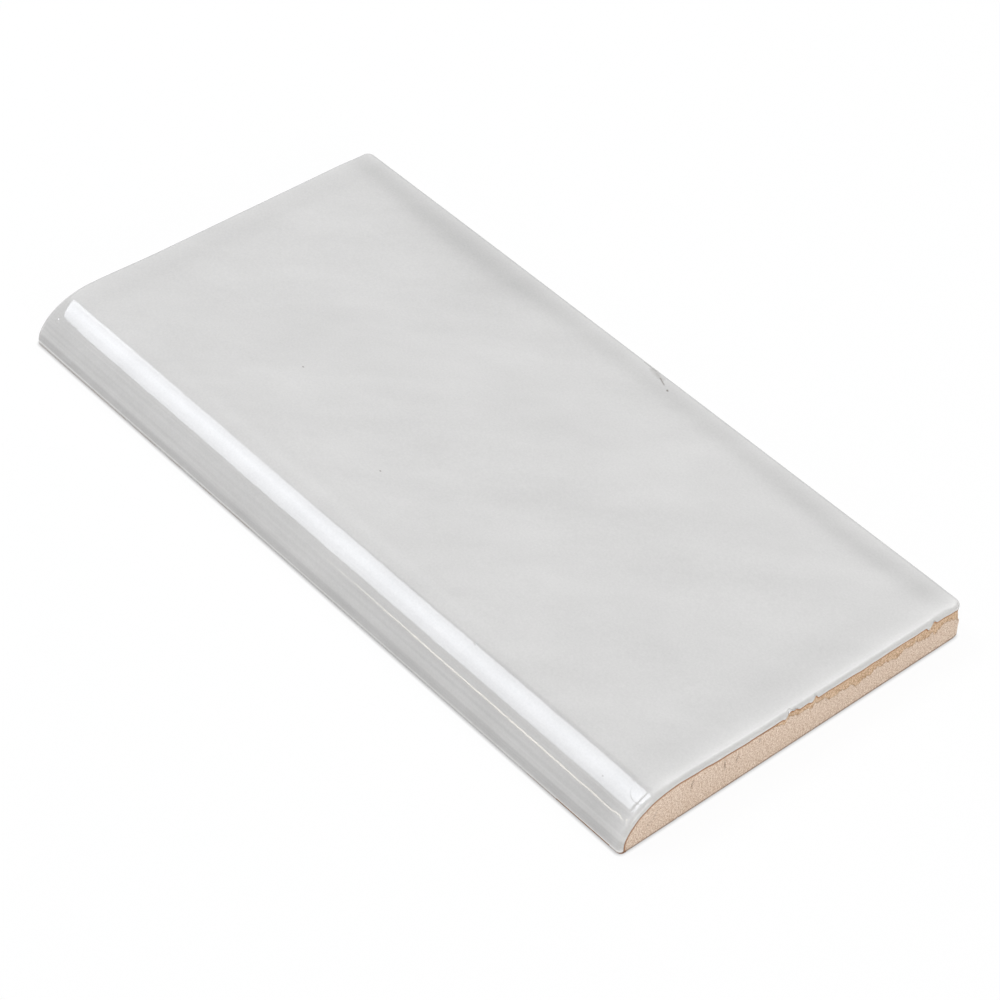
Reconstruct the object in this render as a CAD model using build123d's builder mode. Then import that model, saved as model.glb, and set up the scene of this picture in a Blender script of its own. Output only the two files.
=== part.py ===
from build123d import *
import os

# Bullnose trim tile: one piece of pressed clay, glazed on its face and fired.
# It lies on its unglazed back with the glazed face up. Millimetres, +X runs
# along the tile, the rounded long edge faces -Y and the square long edge +Y.
# The origin is on the back, under the middle of the outline.

# Outline, seen from above
length = 150.0
width = 75.0
corner_radius = 1.5

# Thickness: the face is highest at the crest of the rounded edge, drops a
# little to the field and thins slowly from there to the square edge
crest_thickness = 8.8
field_thickness = 8.3
square_edge_thickness = 7.9

# Rounded long edge: an upright foot, then a quarter of an ellipse up to the
# crest, then a soft fall to the field
foot_height = 1.2
bullnose_run = 11.5
crest_fall_run = 15.5

# Edges: the glaze rounds over the rim of the face, and the pressed body has a
# small worn arris all round its back
rim_radius = 1.2
arris_radius = 0.4

# Keying relief pressed into the back, which the wall adhesive grips: shallow
# pockets with sloping walls, and flush ribs and a flush border between them
key_columns = 10
key_rows = 4
key_border = 6.0
key_rib = 2.0
key_depth = 0.6
key_corner_radius = 1.5
key_wall_slope = 30.0

half_length = length / 2
half_width = width / 2
nose_y = -half_width
crest_y = nose_y + bullnose_run
field_y = crest_y + crest_fall_run

# The fall from the crest meets the field in the direction of the field
crest_top = (crest_y, crest_thickness)
field_start = (field_y, field_thickness)
square_edge_top = (half_width, square_edge_thickness)
field_direction = (
    half_width - field_y,
    square_edge_thickness - field_thickness,
)

key_length = (length - 2 * key_border - (key_columns - 1) * key_rib) / key_columns
key_width = (width - 2 * key_border - (key_rows - 1) * key_rib) / key_rows

with BuildPart() as trim_tile:
    # Section across the tile, the same from end to end
    with BuildSketch(Plane.YZ):
        with BuildLine():
            Line((nose_y, 0), (nose_y, foot_height))
            EllipticalCenterArc(
                (crest_y, foot_height),
                bullnose_run,
                crest_thickness - foot_height,
                start_angle=90,
                arc_size=90,
            )
            Spline(
                crest_top,
                field_start,
                tangents=[(1, 0), field_direction],
            )
            Line(field_start, square_edge_top)
            Line(square_edge_top, (half_width, 0))
            Line((half_width, 0), (nose_y, 0))
        make_face()
    extrude(amount=half_length, both=True)

    # Upright corners of the square long edge
    square_corners = edges().filter_by(Axis.Z).group_by(Axis.Y)[-1]
    fillet(square_corners, corner_radius)

    # Rim of the glazed face: both short ends, down the rounded edge to the
    # back, and the square long edge with its corners
    sides = faces().filter_by(Axis.X)
    sides += faces().filter_by(GeomType.CYLINDER)
    sides += faces().sort_by(Axis.Y)[-1:]
    rim = sides.edges().filter_by(lambda edge: edge.center().Z > arris_radius)
    uprights = rim.filter_by(Axis.Z).filter_by(lambda edge: edge.center().Y > 0)
    fillet([edge for edge in rim if edge not in uprights], rim_radius)

    # Worn arris round the back
    back = faces().sort_by(Axis.Z)[0]
    fillet(back.outer_wire().edges(), arris_radius)

    # Keying pockets in the back, narrower at their floors
    with BuildSketch(Plane.XY):
        with GridLocations(
            key_length + key_rib, key_width + key_rib, key_columns, key_rows
        ):
            RectangleRounded(key_length, key_width, key_corner_radius)
    extrude(amount=key_depth, taper=key_wall_slope, mode=Mode.SUBTRACT)

os.makedirs("parts", exist_ok=True)

trim_tile.part.label = "trim_tile"
export_step(trim_tile.part, "parts/trim_tile.step")
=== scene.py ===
import math

import bmesh
import bpy
from mathutils import Matrix, Vector, noise


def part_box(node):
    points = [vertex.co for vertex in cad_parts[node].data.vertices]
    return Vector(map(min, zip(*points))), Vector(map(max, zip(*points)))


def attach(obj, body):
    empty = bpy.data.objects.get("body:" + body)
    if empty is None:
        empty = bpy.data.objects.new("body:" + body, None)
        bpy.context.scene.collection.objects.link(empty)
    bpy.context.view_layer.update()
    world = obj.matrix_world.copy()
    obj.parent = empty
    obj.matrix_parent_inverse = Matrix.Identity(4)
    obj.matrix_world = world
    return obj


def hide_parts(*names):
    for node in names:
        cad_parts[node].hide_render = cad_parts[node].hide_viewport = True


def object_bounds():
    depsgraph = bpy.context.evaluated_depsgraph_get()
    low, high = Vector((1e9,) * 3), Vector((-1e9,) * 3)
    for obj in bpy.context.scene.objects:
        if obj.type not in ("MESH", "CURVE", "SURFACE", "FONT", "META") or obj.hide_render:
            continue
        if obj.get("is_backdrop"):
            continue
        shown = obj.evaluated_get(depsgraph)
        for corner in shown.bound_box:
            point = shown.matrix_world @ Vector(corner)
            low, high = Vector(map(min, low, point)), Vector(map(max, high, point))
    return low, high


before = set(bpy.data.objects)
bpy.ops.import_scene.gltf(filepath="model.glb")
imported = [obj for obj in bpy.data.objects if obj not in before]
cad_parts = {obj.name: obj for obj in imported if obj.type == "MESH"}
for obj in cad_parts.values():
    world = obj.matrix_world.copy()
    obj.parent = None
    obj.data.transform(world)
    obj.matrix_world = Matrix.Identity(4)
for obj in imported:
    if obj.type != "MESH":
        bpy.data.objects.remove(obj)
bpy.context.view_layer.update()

# Trim tile: one piece of dust-pressed clay with a rounded long edge, fired
# bare on its ends, square edge and keyed back. An opaque light grey gloss glaze
# was run over the face and the rounded edge; it stops in a rounded, ragged lip.
MM = 0.001
tile_low, tile_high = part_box("trim_tile")
END_X = tile_high.x
NOSE_Y = tile_low.y
SQUARE_Y = tile_high.y
CREST_Z = tile_high.z

# Section across the tile: foot, rounded nose, crest, field and square edge
FOOT_Z = 1.2 * MM
FOOT_ROUND = 0.3 * MM
FOOT_GAP = 0.15 * MM
NOSE_RUN = 11.5 * MM
CREST_FALL = 15.5 * MM
FIELD_Z = 8.3 * MM
SQUARE_EDGE_Z = 7.9 * MM
CREST_Y = NOSE_Y + NOSE_RUN
FIELD_Y = CREST_Y + CREST_FALL
FIELD_SLOPE = (SQUARE_EDGE_Z - FIELD_Z) / (SQUARE_Y - FIELD_Y)
NOSE_RISE = CREST_Z - FOOT_Z

# Rim and lip of the glaze, and the bare walls below it
CORNER_RADIUS = 1.5 * MM
RIM_RADIUS = 0.8 * MM
LIP_BEAD = 0.15 * MM
LIP_STEP = 0.06 * MM
WALL_FLARE = 0.12 * MM
CORNER_SQUARENESS = 0.55
ARRIS = 0.25 * MM
CORE_X = END_X - CORNER_RADIUS
CORE_Y = SQUARE_Y - CORNER_RADIUS

# Tan band where the clay flaked off under the lip of the right end
FLAKE_START_Y = -9 * MM
FLAKE_GROWTH = 22 * MM
FLAKE_HEIGHT = 2.35 * MM
FLAKE_LINE = 0.20 * MM
FLAKE_DEPTH = 0.18 * MM
FLAKE_EDGE = 0.25 * MM

# The glaze sinks to a pillow inside its rims
PILLOW_WIDTH = 7.5 * MM
PILLOW_LEVEL = 2.2 * MM
PILLOW_DROP = 0.20 * MM
RIGHT_DROP = 0.10 * MM
RIDGE = 0.05 * MM
RIDGE_INSIDE = 2.3 * MM
RIDGE_HALF_WIDTH = 0.8 * MM
# Firing warp: the left end sags, and the crest of the right end stands higher by this share
LEFT_SAG = 0.17 * MM
WEDGE = 0.062
# A narrow shoulder rounds the left end of the nose off, wider towards the foot
SHOULDER_WIDTH = 1.7 * MM
SHOULDER_GROWTH = 0.055 * MM
SHOULDER_SLOPE = 0.065
SHOULDER_BLEND = 0.4 * MM

# Rings of the mesh from the corner's centre line outwards and down an end
FLAT_RINGS = 4
RIM_RINGS = 13
BEAD_RINGS = 4
BARE_RINGS = 19
ARRIS_RINGS = 4
GLAZE_RINGS = FLAT_RINGS + RIM_RINGS + BEAD_RINGS
BARE_START = GLAZE_RINGS + 1
BARE_END = BARE_START + BARE_RINGS
RINGS = BARE_END + ARRIS_RINGS
# Rows of the mesh from the foot of the nose over the face, and along the tile
FOOT_ROWS = 9
FOOT_ROUND_ROWS = 4
NOSE_ROWS = 56
FACE_ROWS = 290
PILLOW_ROWS = 24
LENGTH_ROWS = 80


def grain(place, size, seed=0.0):
    """Smooth noise from about -1 to 1 whose lumps are size metres across."""
    return noise.noise(place / size + Vector((seed, seed, seed)))


def bump_at(place, centre, half_width):
    """A smooth bump of height 1 at a centre."""
    return math.exp(-(((place - centre) / half_width) ** 2))


def clamped(value):
    """The value held between 0 and 1."""
    return min(1.0, max(0.0, value))


def face_height(y):
    """Height of the face behind the crest: a soft fall, then a slow slope."""
    if y >= FIELD_Y:
        return FIELD_Z + FIELD_SLOPE * (y - FIELD_Y)
    part = clamped((y - CREST_Y) / CREST_FALL)
    fall = (FIELD_Z - CREST_Z) * part * part * (3 - 2 * part)
    return CREST_Z + fall + FIELD_SLOPE * CREST_FALL * (part**3 - part**2)


def sink_share(inside):
    """Share of the sinking inside a rim: all of it near the rim, none past the pillow."""
    part = clamped((PILLOW_WIDTH - inside) / (PILLOW_WIDTH - PILLOW_LEVEL))
    return part * part * (3 - 2 * part)


def nose_turn(row):
    """Degrees up the nose at a row of the mesh: 0 at its foot, 90 at the crest."""
    return (row - FOOT_ROWS) / NOSE_ROWS * 90


def section_rows():
    """Points and outward normals of the section, from the nose's foot to the centre line."""
    front = NOSE_Y + FOOT_ROUND
    rows = [(front, 0.0, (-1, 0)), (front, FOOT_GAP, (-1, 0))]
    for i in range(1, FOOT_ROUND_ROWS + 1):
        turn = math.pi / 2 * i / FOOT_ROUND_ROWS
        rise = FOOT_GAP + FOOT_ROUND * (1 - math.cos(turn))
        rows.append((front - FOOT_ROUND * math.sin(turn), rise, (-1, 0)))
    low = FOOT_GAP + FOOT_ROUND
    steps = FOOT_ROWS - FOOT_ROUND_ROWS
    for i in range(1, steps):
        rows.append((NOSE_Y, low + (FOOT_Z - low) * i / steps, (-1, 0)))
    for i in range(NOSE_ROWS + 1):
        turn = math.pi / 2 * (1 - i / NOSE_ROWS)
        y = CREST_Y - NOSE_RUN * math.sin(turn)
        z = FOOT_Z + NOSE_RISE * math.cos(turn)
        rows.append((y, z, (-math.sin(turn) / NOSE_RUN, math.cos(turn) / NOSE_RISE)))
    pillow_y = SQUARE_Y - PILLOW_WIDTH
    stops = [CREST_Y + (pillow_y - CREST_Y) * i / FACE_ROWS for i in range(1, FACE_ROWS + 1)]
    stops += [pillow_y + (CORE_Y - pillow_y) * i / PILLOW_ROWS for i in range(1, PILLOW_ROWS + 1)]
    step = 0.1 * MM
    for y in stops:
        drop = face_height(y - step) - face_height(y + step)
        rows.append((y, face_height(y), (drop, 2 * step)))
    return [(Vector((0, y, z)), Vector((0, *n)).normalized()) for y, z, n in rows]


def end_columns():
    """Distances from the middle to the corner's centre line of the columns of the mesh."""
    inner = END_X - PILLOW_WIDTH
    middle = [-inner + 2 * inner * i / LENGTH_ROWS for i in range(LENGTH_ROWS + 1)]
    outer = [inner + (CORE_X - inner) * i / PILLOW_ROWS for i in range(1, PILLOW_ROWS + 1)]
    return [-x for x in reversed(outer)] + middle + outer


# Bites and drips of the lip at the right end: place across, half width and reach, in mm
CHIPS = [
    (-2.0, 0.60, -1.30),
    (-0.8, 0.55, -0.80),
    (-3.0, 0.40, 0.40),
    (3.6, 0.35, -1.00),
    (2.7, 0.45, 0.35),
    (29.5, 0.45, 0.75),
    (30.6, 0.40, -0.80),
    (33.0, 0.90, -0.20),
]


def lip_reach(place):
    """How far the glaze's lip runs past the turn of the rim at a place on the outline."""
    ragged = 0.15 * MM * grain(place, 2.4 * MM, 3.7) + 0.24 * MM * grain(place, 9 * MM, 8.1)
    if place.x > 0:
        for centre, half_width, depth in CHIPS:
            ragged += depth * MM * bump_at(place.y, centre * MM, half_width * MM)
    return 0.05 * MM + ragged


def ring_path(ring, reach):
    """Distance outwards and down at a ring, over the rim and under the lip."""
    flat = CORNER_RADIUS - RIM_RADIUS
    if ring <= FLAT_RINGS:
        return flat * ring / FLAT_RINGS, 0.0
    quarter = RIM_RADIUS * math.pi / 2
    along = (quarter + reach) * min(1.0, (ring - FLAT_RINGS) / RIM_RINGS)
    turn = min(math.pi / 2, along / RIM_RADIUS)
    out = flat + RIM_RADIUS * math.sin(turn)
    down = RIM_RADIUS * (1 - math.cos(turn)) + max(0.0, along - quarter)
    curl = math.pi / 2 * clamped((ring - FLAT_RINGS - RIM_RINGS) / BEAD_RINGS)
    ahead = LIP_BEAD * math.sin(curl)
    inward = LIP_BEAD * (1 - math.cos(curl))
    out += ahead * math.cos(turn) - inward * math.sin(turn)
    down += ahead * math.sin(turn) + inward * math.cos(turn)
    if ring > GLAZE_RINGS:
        out = CORNER_RADIUS - LIP_STEP
    return out, down


def flake_width(place):
    """Height of the tan band under the lip: a thin line that widens to the back at the right."""
    if place.x < 0:
        return 0.5 * MM + 0.3 * MM * grain(place, 3 * MM, 5.0)
    start = clamped((place.y - FLAKE_START_Y) / FLAKE_GROWTH)
    step = round(5 * grain(place, 2.2 * MM, 2.0)) / 5
    jag = 0.7 * step + 0.3 * grain(place, 0.9 * MM, 6.0)
    slow = 0.9 + 0.4 * grain(place, 7 * MM, 9.0)
    return FLAKE_LINE + FLAKE_HEIGHT * start * (1 + jag) * slow


def glaze_sink(point, side, turn):
    """How far the glaze's surface lies below the plain section: pillow, warp and shoulder."""
    sunk = PILLOW_DROP * sink_share(SQUARE_Y - point.y)
    if side > 0:
        inside = END_X - point.x
        hollow = RIGHT_DROP * sink_share(inside)
        hollow -= RIDGE * bump_at(inside, RIDGE_INSIDE, RIDGE_HALF_WIDTH)
        return sunk + hollow * (0.35 + 0.65 * clamped((turn - 66) / 20))
    sunk += LEFT_SAG * clamped((-point.x / END_X - 0.4) / 0.6) ** 2
    over = SHOULDER_WIDTH + SHOULDER_GROWTH * min(22.0, max(0.0, 68 - turn))
    over -= END_X + point.x
    if over > 0 and turn < 84:
        rounded = over * over / (over + SHOULDER_BLEND)
        sunk += SHOULDER_SLOPE * rounded * min(1.0, (84 - turn) / 12)
    return sunk * clamped(turn / 25)


def glaze_painted_light_and_tone(place, row):
    """Painted light and shade on the glaze at a place, and one darker spot, as a share of its
    plain grey.
    """
    x, back = place.x / MM, (SQUARE_Y - place.y) / MM
    right, left = (END_X - place.x) / MM, (END_X + place.x) / MM
    turn = min(90.0, nose_turn(row))
    flat = clamped((turn - 62) / 20)
    # Painted shade in a band behind the square edge's rim, widest on the left, a patch of painted
    # shade further in, and a painted highlight on the rim
    wide, late = bump_at(x, -42, 20), bump_at(x, 51, 15)
    depth = 0.105 + 0.130 * wide + 0.045 * late
    middle, half_width = 3.5 + 0.9 * wide + 0.9 * late, 2.3 + 1.1 * wide
    shade = -depth * bump_at(back, middle, half_width) * min(1.0, right / 6)
    shade -= 0.050 * bump_at(x, -36, 22) * bump_at(back, 9.5, 5)
    shade += 0.030 * bump_at(back, 0.8, 0.8)
    # Painted light that grows towards the right end of the face, and one darker spot
    shade += (0.008 + 0.030 * x / 65) * flat
    shade -= 0.035 * bump_at(math.hypot(x - 29.7, back - 52.5), 0, 1.6)
    # Painted highlights on the rims at both ends and a painted highlight line on the right rim of
    # the nose, each end with painted shade inside it
    shade += 0.050 * bump_at(right, 2.0, 1.4)
    shade += 0.16 * bump_at(right, 0.9, 0.8) * (0.45 + 0.55 * flat)
    shade += 0.10 * bump_at(right, 0.85, 0.22) * bump_at(turn, 48, 22)
    shade -= 0.030 * bump_at(right, 6.5, 3.0)
    shade += 0.03 * bump_at(left, 0.6, 1.0) - 0.035 * bump_at(left, 5.0, 2.2)
    # Painted light on the nose near its crest, painted shade low down, painted light just above
    # that shade, and a painted highlight line at its foot
    shade += 0.045 * bump_at(turn, 81, 6) * bump_at(x, -5, 45)
    shade -= 0.150 * clamped((15.5 - turn) / 5.5) * (1 - 0.5 * bump_at(turn, 0, 2))
    shade += 0.065 * bump_at(turn, 17, 5)
    foot_highlight = 0.33 + 0.14 * min(1.0, (x / 66) ** 8)
    shade += foot_highlight * bump_at(place.z, (0.85 - 0.002 * x) * MM, 0.18 * MM) * (turn < 20)
    return shade


# Marks of the cutter on the right end: across, height, half length, lean and depth, in mm
SCRATCHES = [
    (-22.9, 5.6, 0.9, 0.2, 0.13),
    (-15.9, 5.2, 0.8, -0.1, 0.13),
    (-13.2, 5.0, 0.7, 0.15, 0.11),
    (-30.5, 4.1, 0.9, 0.5, 0.07),
    (-31.8, 2.9, 0.5, 0.7, 0.07),
    (-8.4, 5.8, 0.25, 0.0, 0.12),
    (-25.3, 0.35, 0.25, 0.0, 0.15),
]
SCRATCH_HALF_WIDTH = 0.12


def scratched(place):
    """Depth of the cutter marks at a place on the right end."""
    depth = 0.0
    for across_at, height, half, lean, deep in SCRATCHES:
        rise = place.z / MM - height
        aside = place.y / MM - across_at - lean * rise
        length_share = bump_at(rise, 0, half) if abs(rise) < 2 * half else 0.0
        depth = max(depth, deep * MM * bump_at(aside, 0, SCRATCH_HALF_WIDTH) * length_share)
    return depth


sections = section_rows()
columns = end_columns()
nose_rows = FOOT_ROWS + NOSE_ROWS
last_row = len(sections) - 1
across = len(columns) - 1 + 2 * RINGS
upward = last_row + RINGS

# Shares by which the bare foot of the nose, and the cutter marks by their depth, are drawn darker
FOOT_DARKER_SHARE = 0.75
FULL_DARK_DEPTH = 0.1 * MM

# A plain grid is wrapped over the section, the rims and the bare walls
body = bmesh.new()
bmesh.ops.create_grid(body, x_segments=across, y_segments=upward, size=0.5)
below_lip = body.verts.layers.float.new("below_lip")
flake = body.verts.layers.float.new("flake")
darker_share = body.verts.layers.float.new("darker_share")
# Per vertex: painted light and shade on the glaze, and one darker spot
painted_light_and_tone = body.verts.layers.float.new("painted_light_and_tone")
for vert in body.verts:
    column = round((vert.co.x + 0.5) * across)
    row = round((vert.co.y + 0.5) * upward)
    past_end = max(RINGS - column, column - (across - RINGS), 0)
    past_back = max(row - last_row, 0)
    ring = max(past_end, past_back)
    start, normal = sections[min(row, last_row)]
    start = start.copy()
    start.x = columns[min(max(column - RINGS, 0), len(columns) - 1)]
    angle = 0.0
    if past_back:
        angle = math.pi / 4 * min(past_end, past_back) / ring
        angle = angle if past_end > past_back else math.pi / 2 - angle
        normal = Vector((0, 0, 1))
    side = -1 if column < across / 2 else 1
    outward = Vector((side * math.cos(angle), math.sin(angle), 0))
    if not ring:
        outward = Vector((0, 0, 0))

    turned = start + outward * CORNER_RADIUS
    out, down = ring_path(ring, lip_reach(turned) if row > 1 else 0.0)
    point = start + outward * out - normal * down
    flow = 0.030 * MM * grain(start, 17 * MM, 1.3) + 0.012 * MM * grain(start, 6.5 * MM, 5.9)
    flow *= max(0.0, 1 - down / (0.5 * MM))
    if row > FOOT_ROWS:
        point -= normal * (glaze_sink(point, side, nose_turn(row)) - flow)
    vert[painted_light_and_tone] = glaze_painted_light_and_tone(point, row)
    vert[darker_share] = FOOT_DARKER_SHARE if row <= FOOT_ROWS else 0.0

    if ring > BARE_START:
        run = min(1.0, (ring - BARE_START) / BARE_RINGS)
        foot = turned.copy()
        foot.z = 0.0
        if row < nose_rows:
            foot.y = NOSE_Y + FOOT_ROUND + RIM_RADIUS
            foot.y += (NOSE_RUN - RIM_RADIUS) * row / nose_rows
        foot += outward * (WALL_FLARE - LIP_STEP)
        if row == 0:
            foot = point.copy()
        curl = math.pi / 2 * max(0, ring - BARE_END) / ARRIS_RINGS
        lowest = foot + Vector((0, 0, ARRIS if row > 1 else 0.0))
        length = (point - lowest).length
        point = point.lerp(lowest, run)
        vert[below_lip] = length * run
        vert[flake] = flake_width(turned)
        rough = 0.030 * MM * grain(point, 1.1 * MM, 4.0) + 0.02 * MM * grain(point, 0.45 * MM, 7.0)
        rough *= min(1.0, run * 4) * min(1.0, (1 - run) * 5)
        recess = 0.0
        if turned.y > FLAKE_START_Y:
            recess = FLAKE_DEPTH * clamped((vert[flake] - vert[below_lip]) / FLAKE_EDGE)
        square = 1 / max(abs(outward.x), abs(outward.y)) - 1
        point += outward * CORNER_RADIUS * square * CORNER_SQUARENESS * min(1.0, run * 2)
        cut = scratched(point) if side > 0 and not past_back else 0.0
        # The marks are drawn darker in proportion to their depth
        vert[darker_share] = cut / FULL_DARK_DEPTH
        point += outward * (rough - recess * min(1.0, run * 8) - cut)
        if curl:
            point -= outward * ARRIS * (1 - math.cos(curl))
            point.z = lowest.z - ARRIS * math.sin(curl) if row > 1 else 0.0
    lift = WEDGE * point.x / END_X
    point.z *= 1 + lift * min(1.0, (SQUARE_Y - point.y) / (SQUARE_Y - CREST_Y))
    vert.co = point

bmesh.ops.remove_doubles(body, verts=body.verts, dist=0.001 * MM)

# The glaze takes the first material. The second is bare clay: below the lip, and a
# thin line along the foot of the nose that is taller at the right end
for face in body.faces:
    places = [vert[below_lip] for vert in face.verts]
    centre = face.calc_center_median()
    bare_foot = 0.34 * MM - 0.0016 * centre.x + 0.10 * MM * grain(centre, 5 * MM, 2.6)
    bare_foot += 0.42 * MM * bump_at(centre.x, 69 * MM, 13 * MM)
    face.material_index = 1 if max(places) > 0 or centre.z < bare_foot else 0

# Keyed back: ten by four shallow pressed pockets between low ribs
KEY_COLUMNS = 10
KEY_ROWS = 4
KEY_BORDER = 6.0 * MM
KEY_RIB = 2.0 * MM
KEY_DEPTH = 0.6 * MM
KEY_RADIUS = 1.5 * MM
KEY_FLOOR_SHARE = (0.95, 0.96)
KEY_LENGTH = 2 * (END_X - KEY_BORDER) + KEY_RIB
KEY_WIDTH = SQUARE_Y - NOSE_Y - 2 * KEY_BORDER + KEY_RIB
keys = bmesh.ops.create_grid(
    body,
    x_segments=KEY_COLUMNS,
    y_segments=KEY_ROWS,
    size=0.5,
    matrix=Matrix.Diagonal((KEY_LENGTH, KEY_WIDTH, 1, 1)),
)
key_faces = list({face for vert in keys["verts"] for face in vert.link_faces})
bmesh.ops.inset_individual(body, faces=key_faces, thickness=KEY_RIB / 2, use_even_offset=True)
wall_edges = []
for face in bmesh.ops.extrude_discrete_faces(body, faces=key_faces)["faces"]:
    centre = face.calc_center_median()
    shrink = Matrix.Diagonal((*KEY_FLOOR_SHARE, 1, 1))
    around = Matrix.Translation(-centre)
    bmesh.ops.transform(body, matrix=shrink, space=around, verts=face.verts)
    bmesh.ops.translate(body, vec=(0, 0, KEY_DEPTH), verts=face.verts)
    rim = set(face.edges)
    wall_edges += [edge for vert in face.verts for edge in vert.link_edges if edge not in rim]
bmesh.ops.bevel(
    body,
    geom=wall_edges,
    offset=KEY_RADIUS,
    segments=4,
    profile=0.5,
    affect="EDGES",
    material=-1,
)
open_edges = [edge for edge in body.edges if edge.is_boundary]
bmesh.ops.triangle_fill(body, use_beauty=True, edges=open_edges, normal=(0, 0, -1))
for face in body.faces:
    face.smooth = True
    on_back = face.calc_center_median().z < KEY_DEPTH * 1.01
    if on_back and abs(face.normal.z) > 0.3:
        face.material_index = 1
bmesh.ops.recalc_face_normals(body, faces=body.faces)


def linear(code):
    """An sRGB hex colour as the linear values that shaders and lamps take."""
    parts = [int(code[i : i + 2], 16) / 255 for i in (0, 2, 4)]
    parts = [c / 12.92 if c <= 0.04045 else ((c + 0.055) / 1.055) ** 2.4 for c in parts]
    return (*parts, 1.0)


def new_tree(name):
    """An empty node material and its node tree."""
    material = bpy.data.materials.new(name)
    material.use_nodes = True
    material.node_tree.nodes.clear()
    return material, material.node_tree


def add_node(tree, kind, settings=None, values=None, links=None):
    """Adds a node, sets its properties and socket values, and links its sockets."""
    node = tree.nodes.new("ShaderNode" + kind)
    for key, value in (settings or {}).items():
        setattr(node, key, value)
    for key, value in (values or {}).items():
        node.inputs[key].default_value = value
    for key, source in (links or {}).items():
        tree.links.new(source, node.inputs[key])
    return node


# Glazed ceramic, gloss: a smooth coat of fired opaque glass. It gives sharp bright
# reflections over a light grey with soft clouds 9 by 20 mm where the glaze flowed,
# and a fine speckle of 0.4 mm, drawn coarser than the real one so that it shows
glaze, tree = new_tree("glazed_ceramic_grey_gloss")
place = add_node(tree, "TexCoord").outputs["Object"]
drawn = add_node(
    tree,
    "Mapping",
    {"vector_type": "TEXTURE"},
    {"Scale": (9 * MM, 20 * MM, 9 * MM), "Rotation": (0.0, 0.0, -0.8)},
    {"Vector": place},
)
cloud = add_node(
    tree,
    "TexNoise",
    None,
    {"Scale": 1.0, "Detail": 4.0, "Roughness": 0.55},
    {"Vector": drawn.outputs["Vector"]},
)
speck = add_node(tree, "TexNoise", None, {"Scale": 2.6 / MM, "Detail": 2.0}, {"Vector": place})
mottle = add_node(
    tree,
    "MapRange",
    {"clamp": False},
    {"From Min": 0.3, "From Max": 0.7, "To Min": -0.042, "To Max": 0.042},
    {"Value": cloud.outputs["Fac"]},
)
dust = add_node(
    tree,
    "MapRange",
    {"clamp": False},
    {"From Min": 0.3, "From Max": 0.7, "To Min": -0.030, "To Max": 0.030},
    {"Value": speck.outputs["Fac"]},
)
# Painted light and shade from the mesh, added to the glaze's grey
painted_light_attribute = add_node(tree, "Attribute", {"attribute_name": "painted_light_and_tone"})
shift = add_node(
    tree,
    "Math",
    {"operation": "ADD"},
    None,
    {0: mottle.outputs["Result"], 1: dust.outputs["Result"]},
)
shift = add_node(
    tree, "Math", {"operation": "ADD"}, None, {0: shift.outputs["Value"], 1: painted_light_attribute.outputs["Fac"]}
)
# Painted reflections: fine light and dark streaks run along the nose, about 0.4 mm wide and 80 mm
# long
combed = add_node(
    tree, "Mapping", None, {"Scale": (0.012 / MM, 2.3 / MM, 2.3 / MM)}, {"Vector": place}
)
streak = add_node(
    tree,
    "TexNoise",
    None,
    {"Scale": 1.0, "Detail": 3.0},
    {"Vector": combed.outputs["Vector"]},
)
spot = add_node(tree, "SeparateXYZ", None, None, {"Vector": place})
nose = add_node(
    tree,
    "MapRange",
    None,
    {"From Min": NOSE_Y + 7 * MM, "From Max": NOSE_Y + 2 * MM, "To Min": 0.0, "To Max": 0.24},
    {"Value": spot.outputs["Y"]},
)
streak = add_node(
    tree, "Math", {"operation": "SUBTRACT"}, {1: 0.5}, {0: streak.outputs["Fac"]}
)
shift = add_node(
    tree,
    "Math",
    {"operation": "MULTIPLY_ADD"},
    None,
    {0: streak.outputs["Value"], 1: nose.outputs["Result"], 2: shift.outputs["Value"]},
)
level = add_node(tree, "Math", {"operation": "ADD"}, {1: 1.0}, {0: shift.outputs["Value"]})
tint = add_node(
    tree,
    "VectorMath",
    {"operation": "SCALE"},
    {0: linear("CBCAC8")[:3]},
    {"Scale": level.outputs["Value"]},
)
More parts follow.
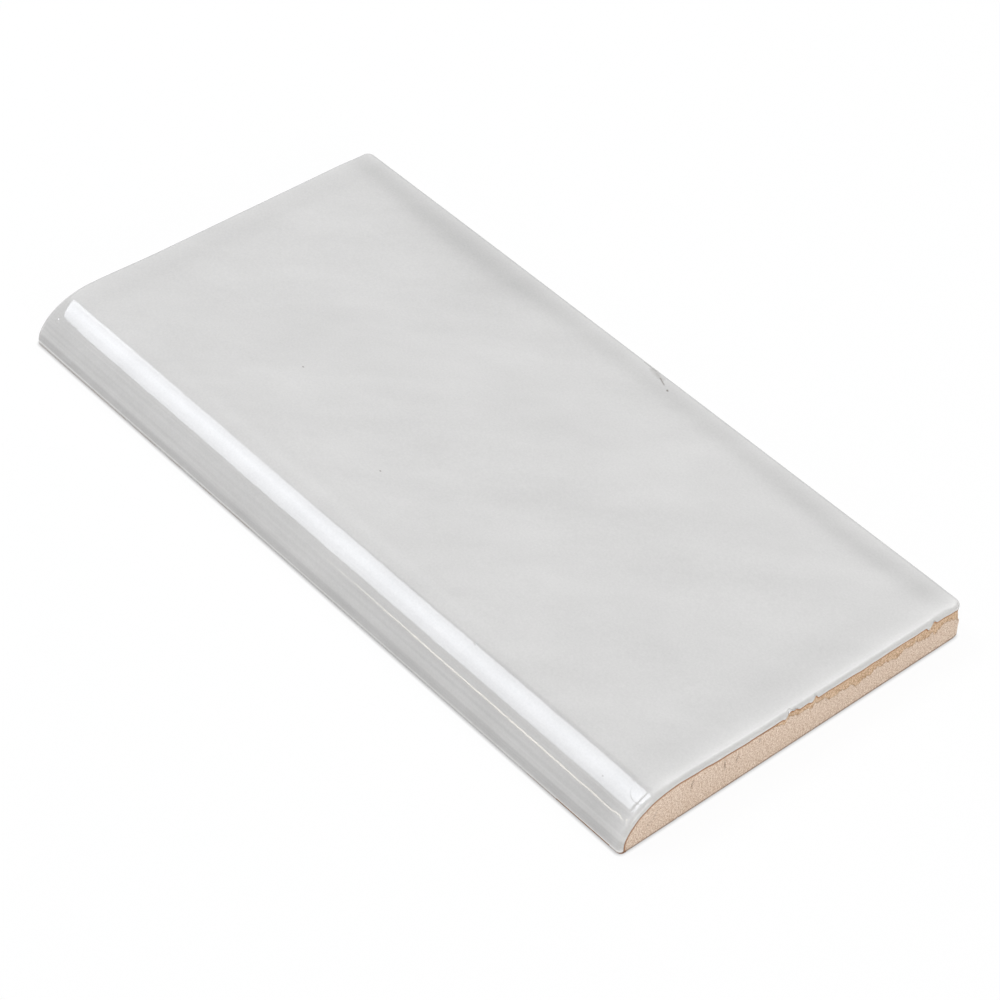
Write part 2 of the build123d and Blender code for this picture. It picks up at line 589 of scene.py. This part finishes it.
# A scuff at the square edge, and three pinholes: both ends and half width in mm, darkness
MARKS = [
    ((0.2, 36.9, 7.67), (3.2, 36.8, 7.68), 0.18, 0.50),
    ((2.6, 36.6, 7.69), (5.4, 36.2, 7.71), 0.75, 0.36),
    ((5.0, 36.1, 7.71), (6.7, 35.4, 7.72), 0.22, 0.75),
    ((8.05, 34.85, 7.74), (8.2, 34.75, 7.74), 0.25, 0.90),
    ((-34.5, -10.7, 8.12), (-34.4, -10.7, 8.12), 0.20, 0.90),
    ((-6.0, -17.3, 8.48), (-5.9, -17.3, 8.48), 0.20, 0.90),
    ((66.0, -33.35, 7.43), (66.1, -33.35, 7.43), 0.20, 0.70),
]
colour = tint.outputs["Vector"]
worn = add_node(tree, "TexNoise", None, {"Scale": 0.9 / MM, "Detail": 3.0}, {"Vector": place})
for start, finish, half_width, darkness in MARKS:
    start, finish = Vector(start) * MM, Vector(finish) * MM
    run = finish - start
    offset = add_node(tree, "VectorMath", {"operation": "SUBTRACT"}, {1: start}, {0: place})
    share = add_node(
        tree,
        "VectorMath",
        {"operation": "DOT_PRODUCT"},
        {1: run / run.length_squared},
        {0: offset.outputs["Vector"]},
    )
    share = add_node(
        tree,
        "Math",
        {"operation": "ADD", "use_clamp": True},
        {1: 0.0},
        {0: share.outputs["Value"]},
    )
    nearest = add_node(
        tree, "VectorMath", {"operation": "SCALE"}, {0: run}, {"Scale": share.outputs["Value"]}
    )
    gap = add_node(
        tree,
        "VectorMath",
        {"operation": "DISTANCE"},
        None,
        {0: offset.outputs["Vector"], 1: nearest.outputs["Vector"]},
    )
    ragged = add_node(
        tree,
        "Math",
        {"operation": "MULTIPLY_ADD"},
        {1: 1.6 * half_width * MM},
        {0: worn.outputs["Fac"], 2: gap.outputs["Value"]},
    )
    dark = add_node(
        tree,
        "MapRange",
        None,
        {
            "From Min": 0.7 * half_width * MM,
            "From Max": 1.8 * half_width * MM,
            "To Min": darkness,
            "To Max": 0.0,
        },
        {"Value": ragged.outputs["Value"]},
    )
    mixed = add_node(
        tree,
        "Mix",
        {"data_type": "RGBA"},
        {"B": linear("6E665C")},
        {"Factor": dark.outputs["Result"], "A": colour},
    )
    colour = mixed.outputs["Result"]
# The fired skin has slack waves 3 mm across, which soften its reflections a little
peel = add_node(tree, "TexNoise", None, {"Scale": 0.33 / MM, "Detail": 2.0}, {"Vector": place})
rough = add_node(
    tree,
    "MapRange",
    None,
    {"From Min": 0.3, "From Max": 0.7, "To Min": 0.03, "To Max": 0.055},
    {"Value": peel.outputs["Fac"]},
)
skin = add_node(
    tree, "Bump", None, {"Strength": 1.0, "Distance": 0.012 * MM}, {"Height": peel.outputs["Fac"]}
)
# Two small swellings and a pit: centre, radius, width of the edge and height, in mm
SWELLINGS = [
    ((73.0, -31.2, 8.46), 2.1, 0.24, 0.022),
    ((-72.5, -34.7, 5.45), 0.15, 0.35, 0.06),
    ((33.6, -30.8, 8.3), 0.05, 0.30, -0.07),
]
for centre, radius, edge, height in SWELLINGS:
    away = add_node(
        tree, "VectorMath", {"operation": "DISTANCE"}, {1: Vector(centre) * MM}, {0: place}
    )
    dome = add_node(
        tree,
        "MapRange",
        {"interpolation_type": "SMOOTHSTEP"},
        {"From Min": radius * MM, "From Max": (radius + edge) * MM, "To Min": 1.0, "To Max": 0.0},
        {"Value": away.outputs["Value"]},
    )
    skin = add_node(
        tree,
        "Bump",
        None,
        {"Strength": 1.0, "Distance": height * MM},
        {"Height": dome.outputs["Result"], "Normal": skin.outputs["Normal"]},
    )
# The glaze drew back into a fine groove just inside the rim at the right end
inset = add_node(
    tree, "Math", {"operation": "SUBTRACT"}, {1: END_X - 1.35 * MM}, {0: spot.outputs["X"]}
)
inset = add_node(tree, "Math", {"operation": "ABSOLUTE"}, None, {0: inset.outputs["Value"]})
groove = add_node(
    tree,
    "MapRange",
    {"interpolation_type": "SMOOTHSTEP"},
    {"From Min": 0.0, "From Max": 0.4 * MM},
    {"Value": inset.outputs["Value"]},
)
skin = add_node(
    tree,
    "Bump",
    None,
    {"Strength": 1.0, "Distance": 0.013 * MM},
    {"Height": groove.outputs["Result"], "Normal": skin.outputs["Normal"]},
)
shader = add_node(
    tree,
    "BsdfPrincipled",
    None,
    {"IOR": 1.52},
    {
        "Base Color": colour,
        "Roughness": rough.outputs["Result"],
        "Normal": skin.outputs["Normal"],
    },
)
add_node(tree, "OutputMaterial", None, None, {"Surface": shader.outputs["BSDF"]})

# Biscuit, bare fired clay: pressed from fine dust, dry and matt. It gives a pinkish
# buff with grit 0.3 mm across, tanner and rougher where it flaked under the lip
biscuit, tree = new_tree("biscuit_clay_buff")
place = add_node(tree, "TexCoord").outputs["Object"]
grit = add_node(
    tree,
    "TexNoise",
    None,
    {"Scale": 3.4 / MM, "Detail": 3.0, "Roughness": 0.7},
    {"Vector": place},
)
grit_share = add_node(
    tree,
    "MapRange",
    None,
    {"From Min": 0.36, "From Max": 0.64},
    {"Value": grit.outputs["Fac"]},
)
pale = add_node(
    tree,
    "Mix",
    {"data_type": "RGBA"},
    {"A": linear("BC9D83"), "B": linear("F4E4D4")},
    {"Factor": grit_share.outputs["Result"]},
)
tan = add_node(
    tree,
    "Mix",
    {"data_type": "RGBA"},
    {"A": linear("A8835F"), "B": linear("EBD0B3")},
    {"Factor": grit_share.outputs["Result"]},
)
depth = add_node(tree, "Attribute", {"attribute_name": "below_lip"})
band = add_node(tree, "Attribute", {"attribute_name": "flake"})
inside = add_node(
    tree,
    "Math",
    {"operation": "SUBTRACT"},
    None,
    {0: band.outputs["Fac"], 1: depth.outputs["Fac"]},
)
share = add_node(
    tree,
    "MapRange",
    None,
    {"From Min": -0.03 * MM, "From Max": 0.04 * MM},
    {"Value": inside.outputs["Value"]},
)
banded = add_node(
    tree,
    "Mix",
    {"data_type": "RGBA"},
    None,
    {
        "Factor": share.outputs["Result"],
        "A": pale.outputs["Result"],
        "B": tan.outputs["Result"],
    },
)
# An orange brown line is drawn in the clay right under the lip
seam = add_node(
    tree,
    "MapRange",
    None,
    {"From Min": 0.24 * MM, "From Max": 0.46 * MM, "To Min": 0.9, "To Max": 0.0},
    {"Value": depth.outputs["Fac"]},
)
banded = add_node(
    tree,
    "Mix",
    {"data_type": "RGBA"},
    {"B": linear("A06C40")},
    {"Factor": seam.outputs["Result"], "A": banded.outputs["Result"]},
)
cut = add_node(tree, "Attribute", {"attribute_name": "darker_share"})
cut_share = add_node(
    tree, "Math", {"operation": "MULTIPLY"}, {1: 0.85}, {0: cut.outputs["Fac"]}
)
# Painted shadow: a fine dark line runs along the broken edge of the flaked band
from_edge = add_node(tree, "Math", {"operation": "ABSOLUTE"}, None, {0: inside.outputs["Value"]})
edge_shadow_line = add_node(
    tree,
    "MapRange",
    None,
    {"From Min": 0.03 * MM, "From Max": 0.12 * MM, "To Min": 0.35, "To Max": 0.0},
    {"Value": from_edge.outputs["Value"]},
)
darkened = add_node(
    tree,
    "Math",
    {"operation": "MAXIMUM"},
    None,
    {0: cut_share.outputs["Value"], 1: edge_shadow_line.outputs["Result"]},
)
height = add_node(tree, "SeparateXYZ", None, None, {"Vector": place})
# Darker towards the bottom of the bare clay
low = add_node(
    tree,
    "MapRange",
    None,
    {"From Min": 0.36 * MM, "From Max": 0.6 * MM, "To Min": 0.70, "To Max": 0.0},
    {"Value": height.outputs["Z"]},
)
darkened = add_node(
    tree,
    "Math",
    {"operation": "MAXIMUM"},
    None,
    {0: darkened.outputs["Value"], 1: low.outputs["Result"]},
)
# The cutter marks, the nose's bare foot, the bottom and the painted shadow line of the flaked edge
# are mixed towards a dark brown
colour = add_node(
    tree,
    "Mix",
    {"data_type": "RGBA"},
    {"B": linear("7E614C")},
    {"Factor": darkened.outputs["Value"], "A": banded.outputs["Result"]},
)
rise = add_node(
    tree, "Bump", None, {"Strength": 1.0, "Distance": 0.045 * MM}, {"Height": grit.outputs["Fac"]}
)
shader = add_node(
    tree,
    "BsdfPrincipled",
    None,
    {"Roughness": 0.85, "IOR": 1.45},
    {"Base Color": colour.outputs["Result"], "Normal": rise.outputs["Normal"]},
)
add_node(tree, "OutputMaterial", None, None, {"Surface": shader.outputs["BSDF"]})

mesh = bpy.data.meshes.new("trim_tile_body")
body.to_mesh(mesh)
body.free()
mesh.set_sharp_from_angle(angle=math.radians(42))
mesh.materials.append(glaze)
mesh.materials.append(biscuit)
piece = bpy.data.objects.new("trim_tile_body", mesh)
bpy.context.scene.collection.objects.link(piece)
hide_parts("trim_tile")
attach(piece, "root")


def seen_plainly(tree):
    """1 where the camera, a reflection or a view through glass meets the surface, else 0."""
    seen = add_node(tree, "LightPath")
    shown = seen.outputs["Is Camera Ray"]
    for ray in ("Is Glossy Ray", "Is Transmission Ray"):
        sockets = {0: shown, 1: seen.outputs[ray]}
        shown = add_node(tree, "Math", {"operation": "MAXIMUM"}, None, sockets).outputs["Value"]
    return shown


# Floor: a plain pale sheet that the tile lies on. Where it is seen it is nearly
# plain white, with a faint share of its real shadow and a thin line of painted
# shadow along the tile's edge, where its glow dims as the tile comes near
floor_mesh = bpy.data.meshes.new("floor")
plane = bmesh.new()
bmesh.ops.create_grid(plane, x_segments=1, y_segments=1, size=3.0)
plane.to_mesh(floor_mesh)
plane.free()
paper, tree = new_tree("floor_paper_white")
shown = seen_plainly(tree)
faint = add_node(tree, "Math", {"operation": "MULTIPLY"}, {1: 0.95}, {0: shown})
lit = add_node(tree, "BsdfDiffuse", None, {"Color": linear("FCFCFC")})
# Painted contact shadow: the glow dims where the tile is close
close = add_node(tree, "AmbientOcclusion", {"samples": 8}, {"Distance": 0.6 * MM})
contact = add_node(
    tree,
    "MapRange",
    None,
    {"From Min": 0.2, "From Max": 0.95, "To Min": 0.45},
    {"Value": close.outputs["AO"]},
)
plain = add_node(tree, "Emission", None, None, {"Strength": contact.outputs["Result"]})
shader = add_node(tree, "MixShader", None, None, {"Fac": faint.outputs["Value"]})
tree.links.new(lit.outputs["BSDF"], shader.inputs[1])
tree.links.new(plain.outputs["Emission"], shader.inputs[2])
add_node(tree, "OutputMaterial", None, None, {"Surface": shader.outputs["Shader"]})
floor_mesh.materials.append(paper)
floor = bpy.data.objects.new("floor", floor_mesh)
bpy.context.scene.collection.objects.link(floor)
floor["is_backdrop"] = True

# Room: an even dim surround, plain white where the camera or a reflection sees it
world = bpy.data.worlds.new("room")
world.use_nodes = True
tree = world.node_tree
tree.nodes.clear()
room = add_node(
    tree,
    "Mix",
    {"data_type": "RGBA"},
    {"A": linear("868584"), "B": linear("FFFFFF")},
    {"Factor": seen_plainly(tree)},
)
light = add_node(tree, "Background", None, {"Strength": 1.0}, {"Color": room.outputs["Result"]})
add_node(tree, "OutputWorld", None, None, {"Surface": light.outputs["Background"]})
bpy.context.scene.world = world

LAMP_DISTANCE = 1.3


def add_softbox(name, direction, along, size, radiance, tint="FFFFFF"):
    """A flat lamp that faces the tile from a direction, with its radiance and colour."""
    lamp = bpy.data.lights.new(name, "AREA")
    lamp.shape = "RECTANGLE"
    lamp.size = size[0]
    lamp.size_y = size[1]
    lamp.energy = radiance * math.pi * size[0] * size[1]
    lamp.color = linear(tint)[:3]
    towards = Vector(direction).normalized()
    sideways = Vector(along)
    sideways = (sideways - towards * towards.dot(sideways)).normalized()
    turn = Matrix((sideways, towards.cross(sideways), towards)).transposed()
    holder = bpy.data.objects.new(name, lamp)
    holder.matrix_world = Matrix.Translation(towards * LAMP_DISTANCE) @ turn.to_4x4()
    bpy.context.scene.collection.objects.link(holder)
    return holder


# Softbox: overhead and to the left, it draws the long bright band on the nose. Its
# cloth hangs slack, so its low and left edges slant, and it is brightest in its middle
softbox = add_softbox(
    "softbox_overhead",
    (-0.565, -0.279, 0.776),
    (0.827, -0.267, 0.494),
    (0.60, 0.80),
    5.2,
    "F3F7FF",
)
SOFTBOX_SLIP = 0.05
softbox.location -= softbox.matrix_world.col[1].xyz * SOFTBOX_SLIP
softbox.data.use_nodes = True
tree = softbox.data.node_tree
tree.nodes.clear()
place = add_node(tree, "NewGeometry")
split = add_node(tree, "SeparateXYZ", None, None, {"Vector": place.outputs["Parametric"]})
low_edge = add_node(
    tree, "Math", {"operation": "MULTIPLY_ADD"}, {1: -0.40, 2: 0.375}, {0: split.outputs["X"]}
)
rise = add_node(
    tree,
    "MapRange",
    None,
    {"From Max": 1.0},
    {"Value": split.outputs["Y"], "From Min": low_edge.outputs["Value"]},
)
ramp = add_node(tree, "ValToRGB", None, None, {"Fac": rise.outputs["Result"]})
stops = ramp.color_ramp.elements
stops[0].color = (0, 0, 0, 1)
stops[1].color = (0.65, 0.65, 0.65, 1)
for at, share in ((0.012, 0.56), (0.40, 0.83), (0.60, 1.0), (0.80, 0.81)):
    stops.new(at).color = (share, share, share, 1)
left_edge = add_node(
    tree, "Math", {"operation": "MULTIPLY_ADD"}, {1: -0.31, 2: 0.31}, {0: split.outputs["Y"]}
)
lit = add_node(
    tree,
    "Math",
    {"operation": "GREATER_THAN"},
    None,
    {0: split.outputs["X"], 1: left_edge.outputs["Value"]},
)
level = add_node(
    tree,
    "Math",
    {"operation": "MULTIPLY"},
    None,
    {0: ramp.outputs["Color"], 1: lit.outputs["Value"]},
)
level = add_node(tree, "Math", {"operation": "MULTIPLY"}, {1: 1.53}, {0: level.outputs["Value"]})
glow = add_node(tree, "Emission", None, None, {"Strength": level.outputs["Value"]})
add_node(tree, "OutputLight", None, None, {"Surface": glow.outputs["Emission"]})

# Strip lamp: narrow, warm and low on the left, it draws the fine line on the nose
strip = add_softbox(
    "strip_lamp", (-0.434, -0.781, 0.448), (0.695, -0.607, -0.385), (0.40, 0.045), 5.5, "FFF1DC"
)
strip.data.shape = "ELLIPSE"
# Panels and fills: dim, plain lamps that shine in the face and the rims, and light
# the nose and the bare right end
add_softbox("panel_behind", (-0.45, 0.40, 0.79), (1, 0, 0), (1.2, 1.05), 1.25)
add_softbox("panel_right", (0.05, 0.50, 0.86), (1, 0, 0), (0.7, 0.55), 2.2)
add_softbox("fill_front", (0.15, -0.93, 0.33), (1, 0, 0), (0.6, 0.6), 1.0)
add_softbox("fill_right", (0.85, -0.25, 0.30), (1, 0, 0), (0.8, 0.8), 3.5)

# Camera: three quarters from the rounded edge and the right end, held slightly askew,
# with a long lens that looks at a place near the middle of the tile
AZIMUTH = math.radians(45.905)
ELEVATION = math.radians(43.225)
ROLL = math.radians(4.152)
DISTANCE = 551.38 * MM
TARGET = Vector((5.094 * MM, -0.083 * MM, 0.10 * MM))
back = Vector(
    (
        math.sin(AZIMUTH) * math.cos(ELEVATION),
        -math.cos(AZIMUTH) * math.cos(ELEVATION),
        math.sin(ELEVATION),
    )
)
right = Vector((0, 0, 1)).cross(back).normalized()
up = back.cross(right)
tilted_right = right * math.cos(ROLL) + up * math.sin(ROLL)
tilted_up = up * math.cos(ROLL) - right * math.sin(ROLL)
lens = bpy.data.cameras.new("camera")
lens.sensor_width = 36.0
lens.lens = 118.44
lens.clip_start = 0.05
camera = bpy.data.objects.new("camera", lens)
turn = Matrix((tilted_right, tilted_up, back)).transposed()
camera.matrix_world = Matrix.Translation(TARGET + back * DISTANCE) @ turn.to_4x4()
bpy.context.scene.collection.objects.link(camera)
bpy.context.scene.camera = camera
bpy.context.scene.view_settings.view_transform = "Standard"

low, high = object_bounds()
